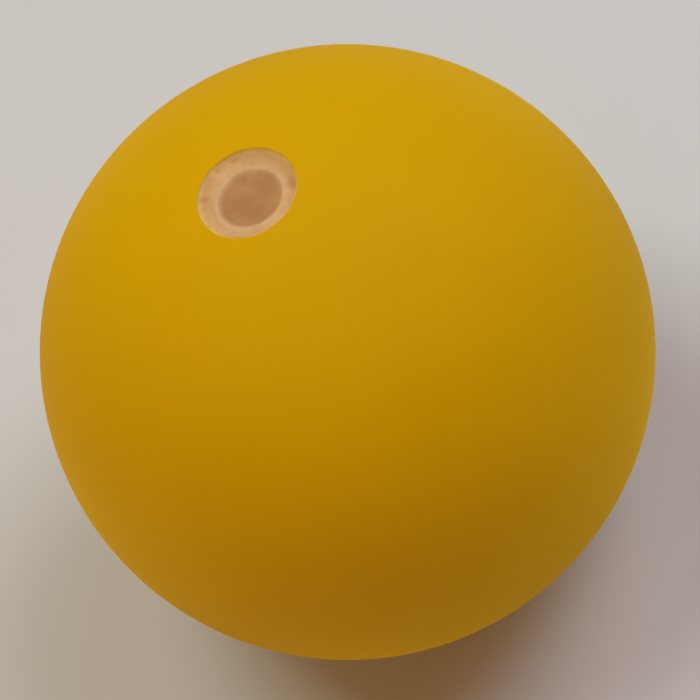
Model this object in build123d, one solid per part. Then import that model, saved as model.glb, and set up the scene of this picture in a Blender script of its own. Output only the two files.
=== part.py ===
from build123d import *
import math
import os

# A millet-filled juggling ball: a soft one-piece shell, the push-in plug that closes its filler
# hole, and the millet inside. The ball's centre is the origin, and +Z runs out through the
# middle of the plug. All sizes are in millimetres. "Drop" is a depth under the mouth's edge.

# --- The shell ---
BALL_DIAMETER = 67.0
SHELL_WALL = 3.0
MOUTH_DIAMETER = 10.6  # the counterbore that takes the plug's flange
SEAT_DROP = 1.5  # down to the flat ring that the flange sits on
HOLE_DIAMETER = 8.8  # the filler hole, through the rest of the wall
MOUTH_ROUND = 0.1  # the softened edge where the ball's surface turns into the mouth

# --- The plug ---
FIT_CLEARANCE = 0.05  # each side, around the flange and around the ribs
PLUG_LENGTH = 6.0  # from the flange's rim to the tip
RIM_DROP = 0.05  # the flange's narrow outer rim, just under the mouth's edge
RIM_LAND = 0.1  # how wide that rim is, before the face dishes
DISH_SAG = 0.2  # how far the dished face hollows between the rim and the lip's foot
LIP_DROP = 1.05  # the crest of the rounded lip around the recess
LIP_DIAMETER = 7.2  # measured along that crest
LIP_FOOT_DIAMETER = 8.2  # where the lip's outer side meets the dished face
LIP_HEIGHT = 0.12  # from that foot up to the crest
RECESS_DIAMETER = 6.4  # the flat-floored recess inside the lip
RECESS_DEPTH = 0.3  # from the lip's crest to the recess's floor
RIB_COUNT = 3
RIB_PITCH = 1.3
RIB_HEIGHT = 0.35
RIB_LAND = 0.3  # the flat top of each rib, before it tapers towards the tip
STEM_NECK = 0.4  # plain stem between the flange and the first rib
TIP_CHAMFER = 0.4

# --- The millet ---
BED_LEVEL = 18.0  # the bed's level top, above the ball's centre
BED_CLEARANCE = 0.3  # between the millet and the shell
GRAIN_DIAMETER = 2.1
GRAIN_GAP = 0.05  # between a loose grain and the bed that it lies on
GRAIN_SPACING = 3.9  # from one loose grain to the next

# --- What follows from those sizes ---
ball_radius = BALL_DIAMETER / 2
cavity_radius = ball_radius - SHELL_WALL
millet_radius = cavity_radius - BED_CLEARANCE
mouth_radius = MOUTH_DIAMETER / 2
hole_radius = HOLE_DIAMETER / 2
flange_radius = mouth_radius - FIT_CLEARANCE
rib_radius = hole_radius - FIT_CLEARANCE
stem_radius = rib_radius - RIB_HEIGHT
grain_radius = GRAIN_DIAMETER / 2


def height_on_sphere(sphere_radius, distance_from_axis):
    """How high a sphere about the origin stands, at a distance from the Z axis."""
    return math.sqrt(sphere_radius**2 - distance_from_axis**2)


mouth_z = height_on_sphere(ball_radius, mouth_radius)
seat_z = mouth_z - SEAT_DROP
rim_z = mouth_z - RIM_DROP
lip_z = mouth_z - LIP_DROP
recess_z = lip_z - RECESS_DEPTH
tip_z = rim_z - PLUG_LENGTH


def turned(*edges):
    """Turns a closed half section once round Z. Its points are (distance from Z, height)."""
    return revolve(Plane.XZ * make_face(edges), axis=Axis.Z)


def make_shell():
    """The hollow ball, with its filler hole and counterbore at the top."""
    hole_foot = (hole_radius, height_on_sphere(cavity_radius, hole_radius))
    mouth_edge = (mouth_radius, mouth_z)
    mouth = Polyline(mouth_edge, (mouth_radius, seat_z), (hole_radius, seat_z), hole_foot)
    shell = turned(
        ThreePointArc((0, -ball_radius), (ball_radius, 0), mouth_edge),
        *mouth.edges(),
        ThreePointArc(hole_foot, (cavity_radius, 0), (0, -cavity_radius)),
        Line((0, -cavity_radius), (0, -ball_radius)),
    )
    top_edge = shell.edges().filter_by(GeomType.CIRCLE).sort_by(Axis.Z)[-1]
    return fillet(top_edge, MOUTH_ROUND)


def plug_face():
    """The plug's outer face, from its edge in: the rim, the dish, the rounded lip and the recess."""
    rim_end = (flange_radius - RIM_LAND, rim_z)
    lip_foot = (LIP_FOOT_DIAMETER / 2, lip_z - LIP_HEIGHT)
    crest = (LIP_DIAMETER / 2, lip_z)
    recess_edge = (RECESS_DIAMETER / 2, recess_z)
    return [
        Line((flange_radius, rim_z), rim_end),
        SagittaArc(rim_end, lip_foot, DISH_SAG),
        TangentArc(crest, lip_foot, tangent=(1, 0)),
        TangentArc(crest, recess_edge, tangent=(-1, 0)),
        Line(recess_edge, (0, recess_z)),
    ]


def plug_stem():
    """The plug's outside below its face: the flange's edge, the ribbed stem and the tip.

    Each rib is square on its upper side, to hold in the soft wall, and tapers below, to go in.
    """
    outline = [(flange_radius, rim_z), (flange_radius, seat_z), (stem_radius, seat_z)]
    for rib in range(RIB_COUNT):
        top = seat_z - STEM_NECK - rib * RIB_PITCH
        outline += [
            (stem_radius, top),
            (rib_radius, top),
            (rib_radius, top - RIB_LAND),
            (stem_radius, top - RIB_LAND - RIB_HEIGHT),
        ]
    outline += [(stem_radius, tip_z + TIP_CHAMFER), (stem_radius - TIP_CHAMFER, tip_z), (0, tip_z)]
    return Polyline(*outline).edges()


def make_filler_plug():
    """The push-in plug that closes the filler hole."""
    return turned(*plug_face(), Line((0, recess_z), (0, tip_z)), *plug_stem())


def make_millet_bed():
    """The filling, taken as one mass: a ball of millet with its top levelled off."""
    brim = (height_on_sphere(millet_radius, BED_LEVEL), BED_LEVEL)
    return turned(
        ThreePointArc((0, -millet_radius), (millet_radius, 0), brim),
        Line(brim, (0, BED_LEVEL)),
        Line((0, BED_LEVEL), (0, -millet_radius)),
    )


def make_millet_grains():
    """The loose grains on top: spread evenly, each turned from the last by the golden angle."""
    centre_z = BED_LEVEL + GRAIN_GAP + grain_radius
    spread_radius = height_on_sphere(millet_radius - grain_radius, centre_z)
    area_for_each = GRAIN_SPACING**2 * math.sin(math.pi / 3)
    count = round(math.pi * spread_radius**2 / area_for_each)
    golden_angle = math.pi * (3 - math.sqrt(5))
    grain = Sphere(grain_radius)
    grains = []
    for i in range(count):
        reach = spread_radius * math.sqrt((i + 0.5) / count)
        turn = i * golden_angle
        grains.append(Pos(reach * math.cos(turn), reach * math.sin(turn), centre_z) * grain)
    return Compound(children=grains)


pieces = {
    "shell": make_shell(),
    "filler_plug": make_filler_plug(),
    "millet_bed": make_millet_bed(),
    "millet_grains": make_millet_grains(),
}

os.makedirs("parts", exist_ok=True)
for node, piece in pieces.items():
    export_step(piece, f"parts/{node}.step")
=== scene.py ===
import math

import bpy
from mathutils import Matrix, Vector


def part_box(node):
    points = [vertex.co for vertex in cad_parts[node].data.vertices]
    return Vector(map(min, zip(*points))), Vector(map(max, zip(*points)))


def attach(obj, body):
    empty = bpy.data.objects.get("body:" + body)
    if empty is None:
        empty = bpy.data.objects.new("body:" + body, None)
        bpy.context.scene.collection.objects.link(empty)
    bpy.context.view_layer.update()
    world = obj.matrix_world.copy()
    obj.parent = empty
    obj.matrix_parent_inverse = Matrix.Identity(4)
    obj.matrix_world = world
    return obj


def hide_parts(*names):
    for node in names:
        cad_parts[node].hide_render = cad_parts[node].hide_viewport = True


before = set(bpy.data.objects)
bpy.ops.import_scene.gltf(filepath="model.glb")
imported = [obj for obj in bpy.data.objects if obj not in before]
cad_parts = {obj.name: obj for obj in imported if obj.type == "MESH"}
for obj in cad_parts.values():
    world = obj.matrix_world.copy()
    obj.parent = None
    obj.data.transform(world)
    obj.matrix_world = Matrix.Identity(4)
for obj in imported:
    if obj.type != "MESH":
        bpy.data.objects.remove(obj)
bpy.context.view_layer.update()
scene = bpy.context.scene
MM = 0.001  # sizes are in millimetres, and meshes in metres


# --- The view --------------------------------------------------------------------------------
# The camera looks down on the ball from close by. The plug's axis leans back from the line of
# sight, and the camera is rolled, so that the plug lies to the upper left of the ball's middle.
VIEW_DISTANCE = 300.0
VIEW_TILT = math.radians(34.65)  # from the plug's axis to the line of sight
VIEW_ROLL = math.radians(32.3)
AIM = Vector((0.25, 0.22, 0))  # how far right of the ball's middle, and above it, the camera aims
HALF_FIELD = 0.1277  # the tangent of half the field of view
NEAREST = 10.0  # nothing closer to the camera than this is drawn

view_axes = Matrix.Rotation(VIEW_TILT, 3, "X") @ Matrix.Rotation(-VIEW_ROLL, 3, "Z")
camera = bpy.data.objects.new("view", bpy.data.cameras.new("view"))
camera.data.lens = camera.data.sensor_width / 2 / HALF_FIELD
camera.data.clip_start = NEAREST * MM
place = view_axes @ (AIM + Vector((0, 0, VIEW_DISTANCE))) * MM
camera.matrix_world = Matrix.Translation(place) @ view_axes.to_4x4()
scene.collection.objects.link(camera)
scene.camera = camera
scene.view_settings.view_transform = "Standard"


# --- The shell -------------------------------------------------------------------------------
# One seamless hollow ball of soft PVC, cast in a closed turning mould, so it has no seam. Its
# skin is matte and silky. At the top is the filler hole, with a counterbore for the plug.
SHELL_WALL = 3.0
MOUTH_RADIUS = 5.3
MOUTH_ROUND = 0.05  # the mouth's edge is softened by this much
SEAT_DROP = 1.5  # from the mouth's edge down to the ring that the flange sits on
HOLE_RADIUS = 4.4
SHELL_STEPS = 288  # flat facets once round the ball, too small to see
SHELL_YELLOW = "#CEAA00"
SHELL_SHADE = "#CAA400"
CLOUD_SIZE = 11.0  # across one patch of the faint cloudiness
SKIN_GRAIN = 0.3  # a guess, drawn coarse so that it shows: the real grain is too fine to see
SKIN_GRAIN_HEIGHT = 0.02

ball_radius = -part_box("shell")[0].z / MM
cavity_radius = ball_radius - SHELL_WALL


def height_on_sphere(sphere_radius, distance_from_axis):
    """How high a sphere about the origin stands, at a distance from the Z axis."""
    return math.sqrt(sphere_radius**2 - distance_from_axis**2)


def arc(centre, radius, start, end, steps):
    """The points of an arc in a half section, both ends included. Angles are in degrees from +X."""
    turns = [math.radians(start + (end - start) * i / steps) for i in range(steps + 1)]
    return [(centre[0] + radius * math.cos(t), centre[1] + radius * math.sin(t)) for t in turns]


def linear_colour(hex_code):
    """An sRGB hex colour as the linear RGBA that shaders use."""
    values = [int(hex_code[i : i + 2], 16) / 255 for i in (1, 3, 5)]
    linear = [v / 12.92 if v <= 0.04045 else ((v + 0.055) / 1.055) ** 2.4 for v in values]
    return (*linear, 1)


def add_node(tree, kind, inputs=None, **settings):
    """Adds a node with its settings. Each input is a value or the output that feeds it."""
    node = tree.nodes.new(kind)
    for name, value in settings.items():
        setattr(node, name, value)
    for socket, value in (inputs or {}).items():
        if isinstance(value, bpy.types.NodeSocket):
            tree.links.new(value, node.inputs[socket])
        else:
            node.inputs[socket].default_value = value
    return node


def new_tree(name, sockets):
    """An empty Geometry Nodes tree that takes a geometry and the named inputs, and gives one."""
    tree = bpy.data.node_groups.new(name, "GeometryNodeTree")
    tree.interface.new_socket("Geometry", in_out="INPUT", socket_type="NodeSocketGeometry")
    for socket, kind in sockets.items():
        tree.interface.new_socket(socket, in_out="INPUT", socket_type=f"NodeSocket{kind}")
    tree.interface.new_socket("Geometry", in_out="OUTPUT", socket_type="NodeSocketGeometry")
    return tree


def run_tree(tree, name, mesh, values):
    """Runs a tree on a mesh with its inputs set, and returns the result as a plain mesh piece."""
    carrier = bpy.data.objects.new(name + "_carrier", mesh)
    scene.collection.objects.link(carrier)
    modifier = carrier.modifiers.new("tree", "NODES")
    modifier.node_group = tree
    for item in tree.interface.items_tree:
        if item.in_out == "INPUT" and item.name in values:
            modifier[item.identifier] = values[item.name]
    shaped = carrier.evaluated_get(bpy.context.evaluated_depsgraph_get())
    piece = bpy.data.objects.new(name, bpy.data.meshes.new_from_object(shaped))
    scene.collection.objects.link(piece)
    bpy.data.objects.remove(carrier)
    return piece


HUB = 10 * MM  # the circle that a section is swept along; the section is moved in by as much
WELD = 0.002 * MM  # points of the section that are closer than this are one
SHARP = math.radians(35)  # edges that turn by more than this stay crisp


def turning_tree():
    """Turns a half section, given as edges in the XZ plane, once round Z like work on a lathe."""
    tree = new_tree("turn_round_z", {"Steps Round": "Int", "Material": "Material"})
    given = add_node(tree, "NodeGroupInput").outputs
    section = add_node(tree, "GeometryNodeMeshToCurve", {"Mesh": given["Geometry"]})
    upright = add_node(
        tree,
        "GeometryNodeTransform",
        {
            "Geometry": section.outputs[0],
            "Translation": (-HUB, 0, 0),
            "Rotation": (math.pi / 2, 0, 0),
        },
    )
    circle = add_node(
        tree,
        "GeometryNodeCurvePrimitiveCircle",
        {"Resolution": given["Steps Round"], "Radius": HUB},
    )
    swept = add_node(
        tree,
        "GeometryNodeCurveToMesh",
        {"Curve": circle.outputs[0], "Profile Curve": upright.outputs[0]},
    )
    closed = add_node(
        tree, "GeometryNodeMergeByDistance", {"Geometry": swept.outputs[0], "Distance": WELD}
    )
    smooth = add_node(
        tree, "GeometryNodeSetShadeSmooth", {"Geometry": closed.outputs[0]}, domain="FACE"
    )
    edge = add_node(tree, "GeometryNodeInputMeshEdgeAngle")
    is_sharp = add_node(
        tree,
        "FunctionNodeCompare",
        {0: edge.outputs["Unsigned Angle"], 1: SHARP},
        data_type="FLOAT",
        operation="GREATER_THAN",
    )
    crisp = add_node(
        tree,
        "GeometryNodeSetShadeSmooth",
        {"Geometry": smooth.outputs[0], "Selection": is_sharp.outputs[0], "Shade Smooth": False},
        domain="EDGE",
    )
    plain = add_node(tree, "GeometryNodeRealizeInstances", {"Geometry": crisp.outputs[0]})
    dressed = add_node(
        tree,
        "GeometryNodeSetMaterial",
        {"Geometry": plain.outputs[0], "Material": given["Material"]},
    )
    add_node(tree, "NodeGroupOutput", {"Geometry": dressed.outputs[0]})
    return tree


turn_round = turning_tree()


def turned_piece(name, outline, steps_round, material):
    """A piece turned from an outline of (distance from Z, height) points, solid on its right."""
    section = bpy.data.meshes.new(name + "_section")
    links = [(i, i + 1) for i in range(len(outline) - 1)]
    section.from_pydata([(x * MM, 0, z * MM) for x, z in outline], links, [])
    return run_tree(turn_round, name, section, {"Steps Round": steps_round, "Material": material})


def moulded_soft_pvc():
    """Soft PVC, pigmented through and cast against a blasted mould: an even yellow with a faint
    cloudiness, a fine dull grain that spreads every highlight, and a bloom of fine dust and
    plasticiser on the skin, which glows a little where the surface turns away."""
    material = bpy.data.materials.new("moulded_soft_pvc")
    material.use_nodes = True
    tree = material.node_tree
    shader = tree.nodes["Principled BSDF"]
    at = add_node(tree, "ShaderNodeTexCoord").outputs["Object"]
    cloud = add_node(
        tree,
        "ShaderNodeTexNoise",
        {"Vector": at, "Scale": 1 / (CLOUD_SIZE * MM), "Detail": 3.0, "Roughness": 0.55},
    )
    yellow = add_node(
        tree,
        "ShaderNodeMix",
        {
            "Factor": cloud.outputs["Fac"],
            "A": linear_colour(SHELL_YELLOW),
            "B": linear_colour(SHELL_SHADE),
        },
        data_type="RGBA",
    )
    tree.links.new(yellow.outputs["Result"], shader.inputs["Base Color"])
    grain = add_node(
        tree, "ShaderNodeTexNoise", {"Vector": at, "Scale": 1 / (SKIN_GRAIN * MM), "Detail": 2.0}
    )
    bump = add_node(
        tree,
        "ShaderNodeBump",
        {
            "Height": grain.outputs["Fac"],
            "Strength": 0.25,
            "Distance": SKIN_GRAIN_HEIGHT * MM,
        },
    )
    tree.links.new(bump.outputs["Normal"], shader.inputs["Normal"])
    shader.inputs["Roughness"].default_value = 0.65
    shader.inputs["Diffuse Roughness"].default_value = 0.14
    shader.inputs["Sheen Weight"].default_value = 0.39
    shader.inputs["Sheen Roughness"].default_value = 0.5
    shader.inputs["Sheen Tint"].default_value = linear_colour("#FFD419")
    shader.inputs["Specular IOR Level"].default_value = 0.06
    return material


def shell_outline():
    """The shell's half section: the cavity from its foot up, the hole, the mouth, and the skin."""
    hole_foot = height_on_sphere(cavity_radius, HOLE_RADIUS)
    seat = height_on_sphere(ball_radius, MOUTH_RADIUS) - SEAT_DROP
    round_x = MOUTH_RADIUS + MOUTH_ROUND
    round_z = height_on_sphere(ball_radius - MOUTH_ROUND, round_x)
    foot_angle = math.degrees(math.atan2(hole_foot, HOLE_RADIUS))
    mouth_angle = math.degrees(math.atan2(round_z, round_x))
    return [
        (0, -cavity_radius),
        *arc((0, 0), cavity_radius, -90, foot_angle, 90)[1:],
        (HOLE_RADIUS, seat),
        (MOUTH_RADIUS, seat),
        *arc((round_x, round_z), MOUTH_ROUND, 180, mouth_angle, 8),
        *arc((0, 0), ball_radius, mouth_angle, -90, 180)[1:-1],
        (0, -ball_radius),
    ]


shell = turned_piece("ball_shell", shell_outline(), SHELL_STEPS, moulded_soft_pvc())
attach(shell, "shell")
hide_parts("shell")


# --- The filler plug -------------------------------------------------------------------------
# An undyed, slightly translucent plug of the same soft PVC, moulded in one piece and pushed in
# by hand: a dished flange, a rounded lip, a shallow thumb recess, and a ribbed stem that grips.
FLANGE_GAP = 0.01  # the soft flange is squeezed tight in the mouth, so no gap shows
RIM_LAND = 0.02  # how wide the flange's flat rim is, before the face dishes
DISH_SAG = 0.2  # how far the dished face hollows between the rim and the lip's foot
LIP_DROP = 1.0  # from the flange's rim down to the lip's crest
LIP_RADIUS = 3.6
LIP_FOOT_RADIUS = 4.1
LIP_HEIGHT = 0.12  # from that foot up to the crest
RECESS_RADIUS = 3.0  # the recess's flat floor, from where it eases up to the lip
RECESS_DEPTH = 0.3  # from the lip's crest down to the recess's flat floor
RIB_COUNT = 3
RIB_PITCH = 1.3
RIB_RADIUS = 4.35
RIB_HEIGHT = 0.35
RIB_LAND = 0.3
STEM_NECK = 0.4
TIP_CHAMFER = 0.4
PLUG_STEPS = 192  # flat facets once round the plug
PLUG_BEIGE = "#D4AF7A"
# Painted light in these colours: the recess's brown stops are painted shade, the lip's pale stop is
# a painted highlight, and the rim's pale stops offset the shade at its thin edge.
PLUG_PAINTED_LIGHT_AND_GRIME = [  # how far from the plug's axis, the colour there, and how much grime has settled
    (2.95, "#B28A5D", 0.0),
    (3.25, "#BF9A71", 0.0),
    (3.55, "#CAB392", 0.0),
    (3.80, "#CEAF8A", 0.2),
    (4.90, "#D4B27D", 0.9),
    (5.08, "#E1BE87", 0.7),
    (5.28, "#F1CF4F", 0.2),
]
TONE_SIZE = 2.5  # across one patch of the uneven tone
TONE_TINT = "#EEE9DF"
GRIME_SIZE = 1.5  # across one smudge of grime
GRIME_PATTERN = 29.7  # which of the noise's patterns is used
GRIME_BROWN = "#A8703A"
FACE_SLOPE = 0.3  # what leans up more than this is the plug's face, the only part with painted shade and highlight, tone and grime
SOFTENING = 0.5  # how much flatter the face shades than it is

plug_low, plug_high = (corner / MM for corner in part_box("filler_plug"))
flange_radius = MOUTH_RADIUS - FLANGE_GAP
rim_z = plug_high.z
tip_z = plug_low.z
seat_z = height_on_sphere(ball_radius, MOUTH_RADIUS) - SEAT_DROP
lip_z = rim_z - LIP_DROP


def sagging_arc(start, end, sag, steps):
    """An arc from start to end whose middle hangs below the straight line between them."""
    a, b = Vector(start), Vector(end)
    chord = b - a
    below = Vector((-chord.y, chord.x)).normalized()
    if below.y > 0:
        below = -below
    radius = (chord.length**2 / 4 + sag**2) / (2 * sag)
    centre = (a + b) / 2 + below * (sag - radius)
    first = math.atan2(a.y - centre.y, a.x - centre.x)
    last = math.atan2(b.y - centre.y, b.x - centre.x)
    return arc(centre, radius, math.degrees(first), math.degrees(last), steps)


def falling_arc(crest, foot, steps):
    """An arc that is level at its crest and falls away to its foot."""
    across, fall = foot[0] - crest[0], crest[1] - foot[1]
    radius = (across**2 + fall**2) / (2 * fall)
    swing = math.degrees(math.atan2(across, radius - fall))
    return arc((crest[0], crest[1] - radius), radius, 90, 90 - swing, steps)


def eased_rise(start, end, steps):
    """A soft step up from start to end, level at both."""
    shares = [i / steps for i in range(steps + 1)]
    across, rise = end[0] - start[0], end[1] - start[1]
    return [(start[0] + across * t, start[1] + rise * t * t * (3 - 2 * t)) for t in shares]


def plug_outline():
    """The plug's half section: the recess, the lip, the dish and the rim, and then the stem."""
    lip_top = (LIP_RADIUS, lip_z)
    lip_foot = (LIP_FOOT_RADIUS, lip_z - LIP_HEIGHT)
    recess_edge = (RECESS_RADIUS, lip_z - RECESS_DEPTH)
    rim_end = (flange_radius - RIM_LAND, rim_z)
    stem_radius = RIB_RADIUS - RIB_HEIGHT
    outline = [
        (0, lip_z - RECESS_DEPTH),
        *eased_rise(recess_edge, lip_top, 14),
        *falling_arc(lip_top, lip_foot, 8)[1:],
        *sagging_arc(lip_foot, rim_end, DISH_SAG, 12)[1:],
        (flange_radius, rim_z),
        (flange_radius, seat_z),
        (stem_radius, seat_z),
    ]
    for rib in range(RIB_COUNT):
        top = seat_z - STEM_NECK - rib * RIB_PITCH
        outline += [
            (stem_radius, top),
            (RIB_RADIUS, top),
            (RIB_RADIUS, top - RIB_LAND),
            (stem_radius, top - RIB_LAND - RIB_HEIGHT),
        ]
    outline += [(stem_radius, tip_z + TIP_CHAMFER), (stem_radius - TIP_CHAMFER, tip_z), (0, tip_z)]
    return outline


def undyed_soft_pvc():
    """Undyed soft PVC: a warm beige that lets light in, with a satin moulded skin. The recess is
    painted browner as shade, the lip is painted paler as a highlight, and the rim's edge is painted
    paler to offset the shade at its thin edge. Grime has settled in the dish."""
    material = bpy.data.materials.new("undyed_soft_pvc")
    material.use_nodes = True
    tree = material.node_tree
    shader = tree.nodes["Principled BSDF"]
    coordinates = add_node(tree, "ShaderNodeTexCoord").outputs
    at = coordinates["Object"]
    share = 1 / (MOUTH_RADIUS * MM)
    flat = add_node(
        tree, "ShaderNodeVectorMath", {0: at, 1: (share, share, 0)}, operation="MULTIPLY"
    )
    reach = add_node(tree, "ShaderNodeVectorMath", {0: flat.outputs[0]}, operation="LENGTH")
    # The ramp's colours hold painted shade in the recess and a painted highlight on the lip and
    # rim, and its alpha holds the grime.
    light_and_grime_ramp = add_node(tree, "ShaderNodeValToRGB", {"Fac": reach.outputs["Value"]})
    stops = light_and_grime_ramp.color_ramp.elements
    for radius, colour, grime in PLUG_PAINTED_LIGHT_AND_GRIME:
        stops.new(radius / MOUTH_RADIUS).color = (*linear_colour(colour)[:3], grime)
    stops.remove(stops[-1])
    stops.remove(stops[0])
    cloud = add_node(
        tree,
        "ShaderNodeTexNoise",
        {"Vector": at, "W": 0.0, "Scale": 1 / (TONE_SIZE * MM), "Detail": 3.0},
        noise_dimensions="4D",
    )
    patches = add_node(
        tree,
        "ShaderNodeMapRange",
        {"Value": cloud.outputs["Fac"], "From Min": 0.38, "From Max": 0.62},
    )
    mottled_painted_light = add_node(
        tree,
        "ShaderNodeMix",
        {
            "Factor": patches.outputs[0],
            "A": light_and_grime_ramp.outputs["Color"],
            "B": linear_colour(TONE_TINT),
        },
        data_type="RGBA",
        blend_type="MULTIPLY",
    )
    speck = add_node(
        tree,
        "ShaderNodeTexNoise",
        {"Vector": at, "W": GRIME_PATTERN, "Scale": 1 / (GRIME_SIZE * MM), "Detail": 3.0},
        noise_dimensions="4D",
    )
    dirt = add_node(
        tree,
        "ShaderNodeMapRange",
        {
            "Value": speck.outputs["Fac"],
            "From Min": 0.5,
            "From Max": 0.8,
            "To Max": light_and_grime_ramp.outputs["Alpha"],
        },
    )
    grime_and_painted_light = add_node(
        tree,
        "ShaderNodeMix",
        {
            "Factor": dirt.outputs[0],
            "A": mottled_painted_light.outputs["Result"],
            "B": linear_colour(GRIME_BROWN),
        },
        data_type="RGBA",
    )
    slope = add_node(tree, "ShaderNodeSeparateXYZ", {0: coordinates["Normal"]}).outputs["Z"]
    face = add_node(
        tree, "ShaderNodeMath", {0: slope, 1: FACE_SLOPE}, operation="GREATER_THAN"
    ).outputs[0]
    beige = add_node(
        tree,
        "ShaderNodeMix",
        {"Factor": face, "A": linear_colour(PLUG_BEIGE), "B": grime_and_painted_light.outputs["Result"]},
        data_type="RGBA",
    )
    tree.links.new(beige.outputs["Result"], shader.inputs["Base Color"])
    # Light spreads inside the translucent plug, so its face shades as if it were flatter.
    axis = add_node(
        tree,
        "ShaderNodeVectorTransform",
        {0: (0, 0, 1)},
        vector_type="NORMAL",
        convert_from="OBJECT",
        convert_to="WORLD",
    )
    flattening = add_node(tree, "ShaderNodeMath", {0: face, 1: SOFTENING}, operation="MULTIPLY")
    soft = add_node(
        tree,
        "ShaderNodeMix",
        {
            "Factor": flattening.outputs[0],
            "A": add_node(tree, "ShaderNodeNewGeometry").outputs["Normal"],
            "B": axis.outputs[0],
        },
        data_type="VECTOR",
    )
    unit = add_node(
        tree, "ShaderNodeVectorMath", {0: soft.outputs["Result"]}, operation="NORMALIZE"
    )
    tree.links.new(unit.outputs[0], shader.inputs["Normal"])
    shader.inputs["Roughness"].default_value = 0.5
    shader.inputs["Specular IOR Level"].default_value = 0.3
    shader.inputs["Subsurface Weight"].default_value = 0.7
    shader.inputs["Subsurface Radius"].default_value = (1.0, 0.6, 0.35)
    shader.inputs["Subsurface Scale"].default_value = 0.5 * MM
    return material


plug = turned_piece("filler_plug_moulding", plug_outline(), PLUG_STEPS, undyed_soft_pvc())
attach(plug, "plug")
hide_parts("filler_plug")


# --- The millet ------------------------------------------------------------------------------
# Dry millet in its husks, poured in through the filler hole until the ball is most of the way full.
# The grains lie level, and they slide round inside when the ball is tilted.
GRAIN_DIAMETER = 2.1
GRAIN_SHAPE = (1.0, 0.93, 0.86)  # a seed is a little flattened
SMALLEST_GRAIN = 0.86  # as a share of the largest
PACKED_SPACING = 1.62  # the least distance between the middles of two packed grains
LOOSE_SPACING = 3.2
PACKED_SEED = 3
LOOSE_SEED = 11
TINT_SEED = 7
CROWDING = 3e7  # points tried for each square metre: many more than the spacing lets in
CORE_STEPS = 96
DISC_STEPS = 64
HUSK_STRAW = "#E0B860"
HUSK_GOLD = "#C8923A"
DEEP_LIT = "#B4843A"
DEEP_SHADED = "#4A2E10"

bed_low, bed_high = (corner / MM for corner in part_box("millet_bed"))
bed_radius = -bed_low.z
bed_level = bed_high.z
grain_radius = GRAIN_DIAMETER / 2


def scattering_tree():
    """Lays grains all over a surface, no two closer than the spacing, each turned its own way."""
    tree = new_tree(
        "scatter_grains",
        {"Spacing": "Float", "Diameter": "Float", "Seed": "Int", "Material": "Material"},
    )
    given = add_node(tree, "NodeGroupInput").outputs
    points = add_node(
        tree,
        "GeometryNodeDistributePointsOnFaces",
        {
            "Mesh": given["Geometry"],
            "Distance Min": given["Spacing"],
            "Density Max": CROWDING,
            "Seed": given["Seed"],
        },
        distribute_method="POISSON",
    )
    ball = add_node(tree, "GeometryNodeMeshUVSphere", {"Segments": 8, "Rings": 4, "Radius": 0.5})
    smooth = add_node(
        tree, "GeometryNodeSetShadeSmooth", {"Geometry": ball.outputs[0]}, domain="FACE"
    )
    grain = add_node(
        tree, "GeometryNodeTransform", {"Geometry": smooth.outputs[0], "Scale": GRAIN_SHAPE}
    )
    spin = add_node(
        tree,
        "FunctionNodeRandomValue",
        {0: (0, 0, 0), 1: (math.tau, math.tau, math.tau), "Seed": given["Seed"]},
        data_type="FLOAT_VECTOR",
    )
    growth = add_node(
        tree,
        "FunctionNodeRandomValue",
        {2: SMALLEST_GRAIN, 3: 1.0, "Seed": given["Seed"]},
        data_type="FLOAT",
    )
    size = add_node(
        tree, "ShaderNodeMath", {0: growth.outputs[1], 1: given["Diameter"]}, operation="MULTIPLY"
    )
    placed = add_node(
        tree,
        "GeometryNodeInstanceOnPoints",
        {
            "Points": points.outputs["Points"],
            "Instance": grain.outputs[0],
            "Rotation": spin.outputs[0],
            "Scale": size.outputs[0],
        },
    )
    tint = add_node(
        tree, "FunctionNodeRandomValue", {2: 0.0, 3: 1.0, "Seed": TINT_SEED}, data_type="FLOAT"
    )
    tinted = add_node(
        tree,
        "GeometryNodeStoreNamedAttribute",
        {"Geometry": placed.outputs[0], "Name": "grain_tint", "Value": tint.outputs[1]},
        data_type="FLOAT",
        domain="INSTANCE",
    )
    plain = add_node(tree, "GeometryNodeRealizeInstances", {"Geometry": tinted.outputs[0]})
    dressed = add_node(
        tree,
        "GeometryNodeSetMaterial",
        {"Geometry": plain.outputs[0], "Material": given["Material"]},
    )
    add_node(tree, "NodeGroupOutput", {"Geometry": dressed.outputs[0]})
    return tree


def millet_husk():
    """Dry millet: small glossy seeds from straw to gold, each a slightly different tint."""
    material = bpy.data.materials.new("millet_husk")
    material.use_nodes = True
    tree = material.node_tree
    shader = tree.nodes["Principled BSDF"]
    tint = add_node(tree, "ShaderNodeAttribute", attribute_name="grain_tint")
    seed = add_node(
        tree,
        "ShaderNodeMix",
        {
            "Factor": tint.outputs["Fac"],
            "A": linear_colour(HUSK_STRAW),
            "B": linear_colour(HUSK_GOLD),
        },
        data_type="RGBA",
    )
    tree.links.new(seed.outputs["Result"], shader.inputs["Base Color"])
    shader.inputs["Roughness"].default_value = 0.38
    return material


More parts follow.
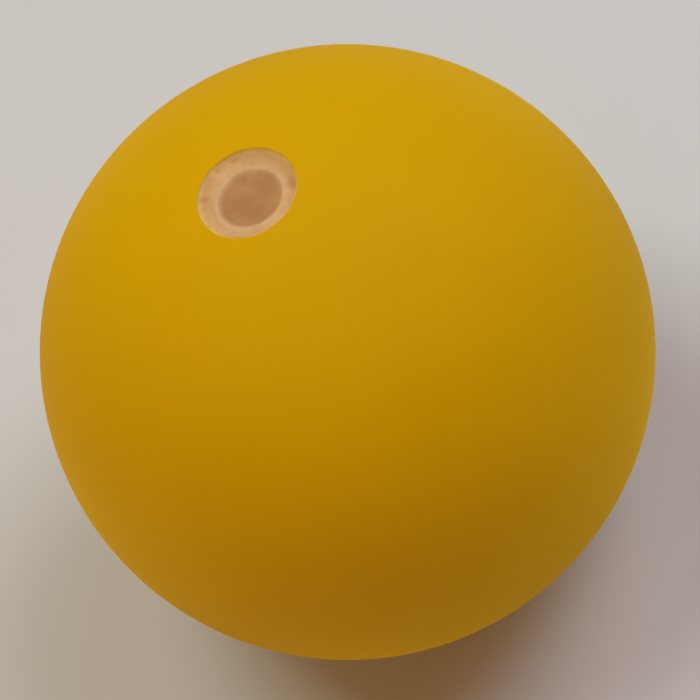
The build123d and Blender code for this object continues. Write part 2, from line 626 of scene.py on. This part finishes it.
def shaded_millet():
    """The grains deeper in the heap, seen only in the gaps between those on top: the same seeds,
    one cell of the pattern to a grain, browner because little light reaches them."""
    material = bpy.data.materials.new("shaded_millet")
    material.use_nodes = True
    tree = material.node_tree
    shader = tree.nodes["Principled BSDF"]
    at = add_node(tree, "ShaderNodeTexCoord").outputs["Object"]
    seeds = add_node(
        tree, "ShaderNodeTexVoronoi", {"Vector": at, "Scale": 1 / (GRAIN_DIAMETER * MM)}
    ).outputs["Distance"]
    # Painted shade: each cell darkens towards its rim, as in the gaps between grains.
    gap_shade = add_node(
        tree, "ShaderNodeMapRange", {"Value": seeds, "From Min": 0.15, "From Max": 0.7}
    )
    brown = add_node(
        tree,
        "ShaderNodeMix",
        {
            "Factor": gap_shade.outputs[0],
            "A": linear_colour(DEEP_LIT),
            "B": linear_colour(DEEP_SHADED),
        },
        data_type="RGBA",
    )
    tree.links.new(brown.outputs["Result"], shader.inputs["Base Color"])
    bump = add_node(
        tree, "ShaderNodeBump", {"Height": seeds, "Distance": grain_radius * MM}, invert=True
    )
    tree.links.new(bump.outputs["Normal"], shader.inputs["Normal"])
    shader.inputs["Roughness"].default_value = 0.6
    return material


scatter_grains = scattering_tree()
husk = millet_husk()
core_radius = bed_radius - grain_radius
core_level = bed_level - grain_radius
brim_x = height_on_sphere(core_radius, core_level)
brim_angle = math.degrees(math.atan2(core_level, brim_x))
core_outline = [
    (0, core_level),
    *arc((0, 0), core_radius, brim_angle, -90, 60)[:-1],
    (0, -core_radius),
]
core = turned_piece("millet_core", core_outline, CORE_STEPS, shaded_millet())
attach(core, "millet")
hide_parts("millet_bed")

packed = {
    "Spacing": PACKED_SPACING * MM,
    "Diameter": GRAIN_DIAMETER * MM,
    "Seed": PACKED_SEED,
    "Material": husk,
}
heap = run_tree(scatter_grains, "millet_heap", core.data.copy(), packed)
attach(heap, "millet")
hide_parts("millet_bed")

loose_z = sum(corner.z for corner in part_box("millet_grains")) / 2 / MM
loose_reach = height_on_sphere(bed_radius - grain_radius, loose_z)
disc = turned_piece("loose_disc", [(0, loose_z), (loose_reach, loose_z)], DISC_STEPS, husk)
loose = {
    "Spacing": LOOSE_SPACING * MM,
    "Diameter": GRAIN_DIAMETER * MM,
    "Seed": LOOSE_SEED,
    "Material": husk,
}
grains = run_tree(scatter_grains, "loose_grains", disc.data, loose)
bpy.data.objects.remove(disc)
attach(grains, "millet")
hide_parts("millet_grains")


# --- The floor and the light -----------------------------------------------------------------
# A plain pale tabletop that fades into a backdrop, and four soft lamps: white ones high on the
# right and overhead, and weaker warm ones low in front and on the left. A weak warm light from all
# round fills the shadows.
FLOOR_REACH = 3000.0
FLOOR_COLOUR = "#C9D5E9"  # cool, so that the warm light leaves it a neutral pale grey
BACKDROP_COLOUR = "#CBC6C1"
FADE_START = 110.0  # how far from the ball the tabletop begins to fade into the backdrop
FADE_END = 420.0
LAMP_DISTANCE = 900.0
LAMP_SIZE = 500.0
ROOM_WARMTH = (1.0, 0.42, 0.19, 1)  # warm, so that the shadows under the ball are brown
ROOM_STRENGTH = 0.253


def softbox(name, direction, watts, colour):
    """A square area lamp that faces the ball from a direction."""
    lamp = bpy.data.lights.new(name, "AREA")
    lamp.size = LAMP_SIZE * MM
    lamp.energy = watts
    lamp.color = colour
    holder = bpy.data.objects.new(name, lamp)
    toward = Vector(direction).normalized()
    turn = toward.to_track_quat("Z", "Y").to_matrix().to_4x4()
    holder.matrix_world = Matrix.Translation(toward * LAMP_DISTANCE * MM) @ turn
    scene.collection.objects.link(holder)


floor_mesh = bpy.data.meshes.new("tabletop")
reach = FLOOR_REACH * MM
floor_z = -ball_radius * MM
corners = [
    (-reach, -reach, floor_z),
    (reach, -reach, floor_z),
    (reach, reach, floor_z),
    (-reach, reach, floor_z),
]
floor_mesh.from_pydata(corners, [], [(0, 1, 2, 3)])
tabletop = bpy.data.objects.new("tabletop", floor_mesh)
scene.collection.objects.link(tabletop)
floor_paint = bpy.data.materials.new("matte_tabletop")
floor_paint.use_nodes = True
floor_tree = floor_paint.node_tree
floor_shader = floor_tree.nodes["Principled BSDF"]
floor_shader.inputs["Base Color"].default_value = linear_colour(FLOOR_COLOUR)
floor_shader.inputs["Roughness"].default_value = 0.8
floor_at = add_node(floor_tree, "ShaderNodeTexCoord").outputs["Object"]
away = add_node(floor_tree, "ShaderNodeVectorMath", {0: floor_at}, operation="LENGTH")
fade = add_node(
    floor_tree,
    "ShaderNodeMapRange",
    {"Value": away.outputs["Value"], "From Min": FADE_START * MM, "From Max": FADE_END * MM},
    interpolation_type="SMOOTHSTEP",
)
looked_at = add_node(floor_tree, "ShaderNodeLightPath").outputs["Is Camera Ray"]
share = add_node(
    floor_tree, "ShaderNodeMath", {0: fade.outputs[0], 1: looked_at}, operation="MULTIPLY"
)
far = add_node(floor_tree, "ShaderNodeEmission", {"Color": linear_colour(BACKDROP_COLOUR)})
seamless = add_node(
    floor_tree,
    "ShaderNodeMixShader",
    {0: share.outputs[0], 1: floor_shader.outputs[0], 2: far.outputs[0]},
)
floor_tree.links.new(seamless.outputs[0], floor_tree.nodes["Material Output"].inputs["Surface"])
floor_mesh.materials.append(floor_paint)

softbox("right_lamp", (0.62, 0.0, 0.79), 3.74, (1.0, 0.98, 0.94))
softbox("top_lamp", (-0.15, 0.27, 0.95), 3.55, (0.98, 1.0, 0.75))
softbox("front_fill", (-0.5, -0.69, 0.53), 0.73, (1.0, 0.42, 0.25))
softbox("left_fill", (-0.98, 0.0, 0.21), 1.14, (1.0, 0.74, 0.25))

world = bpy.data.worlds.new("room")
world.use_nodes = True
room = world.node_tree
room_light = room.nodes["Background"]
room_light.inputs["Color"].default_value = ROOM_WARMTH
room_light.inputs["Strength"].default_value = ROOM_STRENGTH
backdrop = add_node(room, "ShaderNodeBackground", {"Color": linear_colour(BACKDROP_COLOUR)})
seen_directly = add_node(room, "ShaderNodeLightPath").outputs["Is Camera Ray"]
mixed = add_node(
    room,
    "ShaderNodeMixShader",
    {0: seen_directly, 1: room_light.outputs[0], 2: backdrop.outputs[0]},
)
room.links.new(mixed.outputs[0], room.nodes["World Output"].inputs["Surface"])
scene.world = world
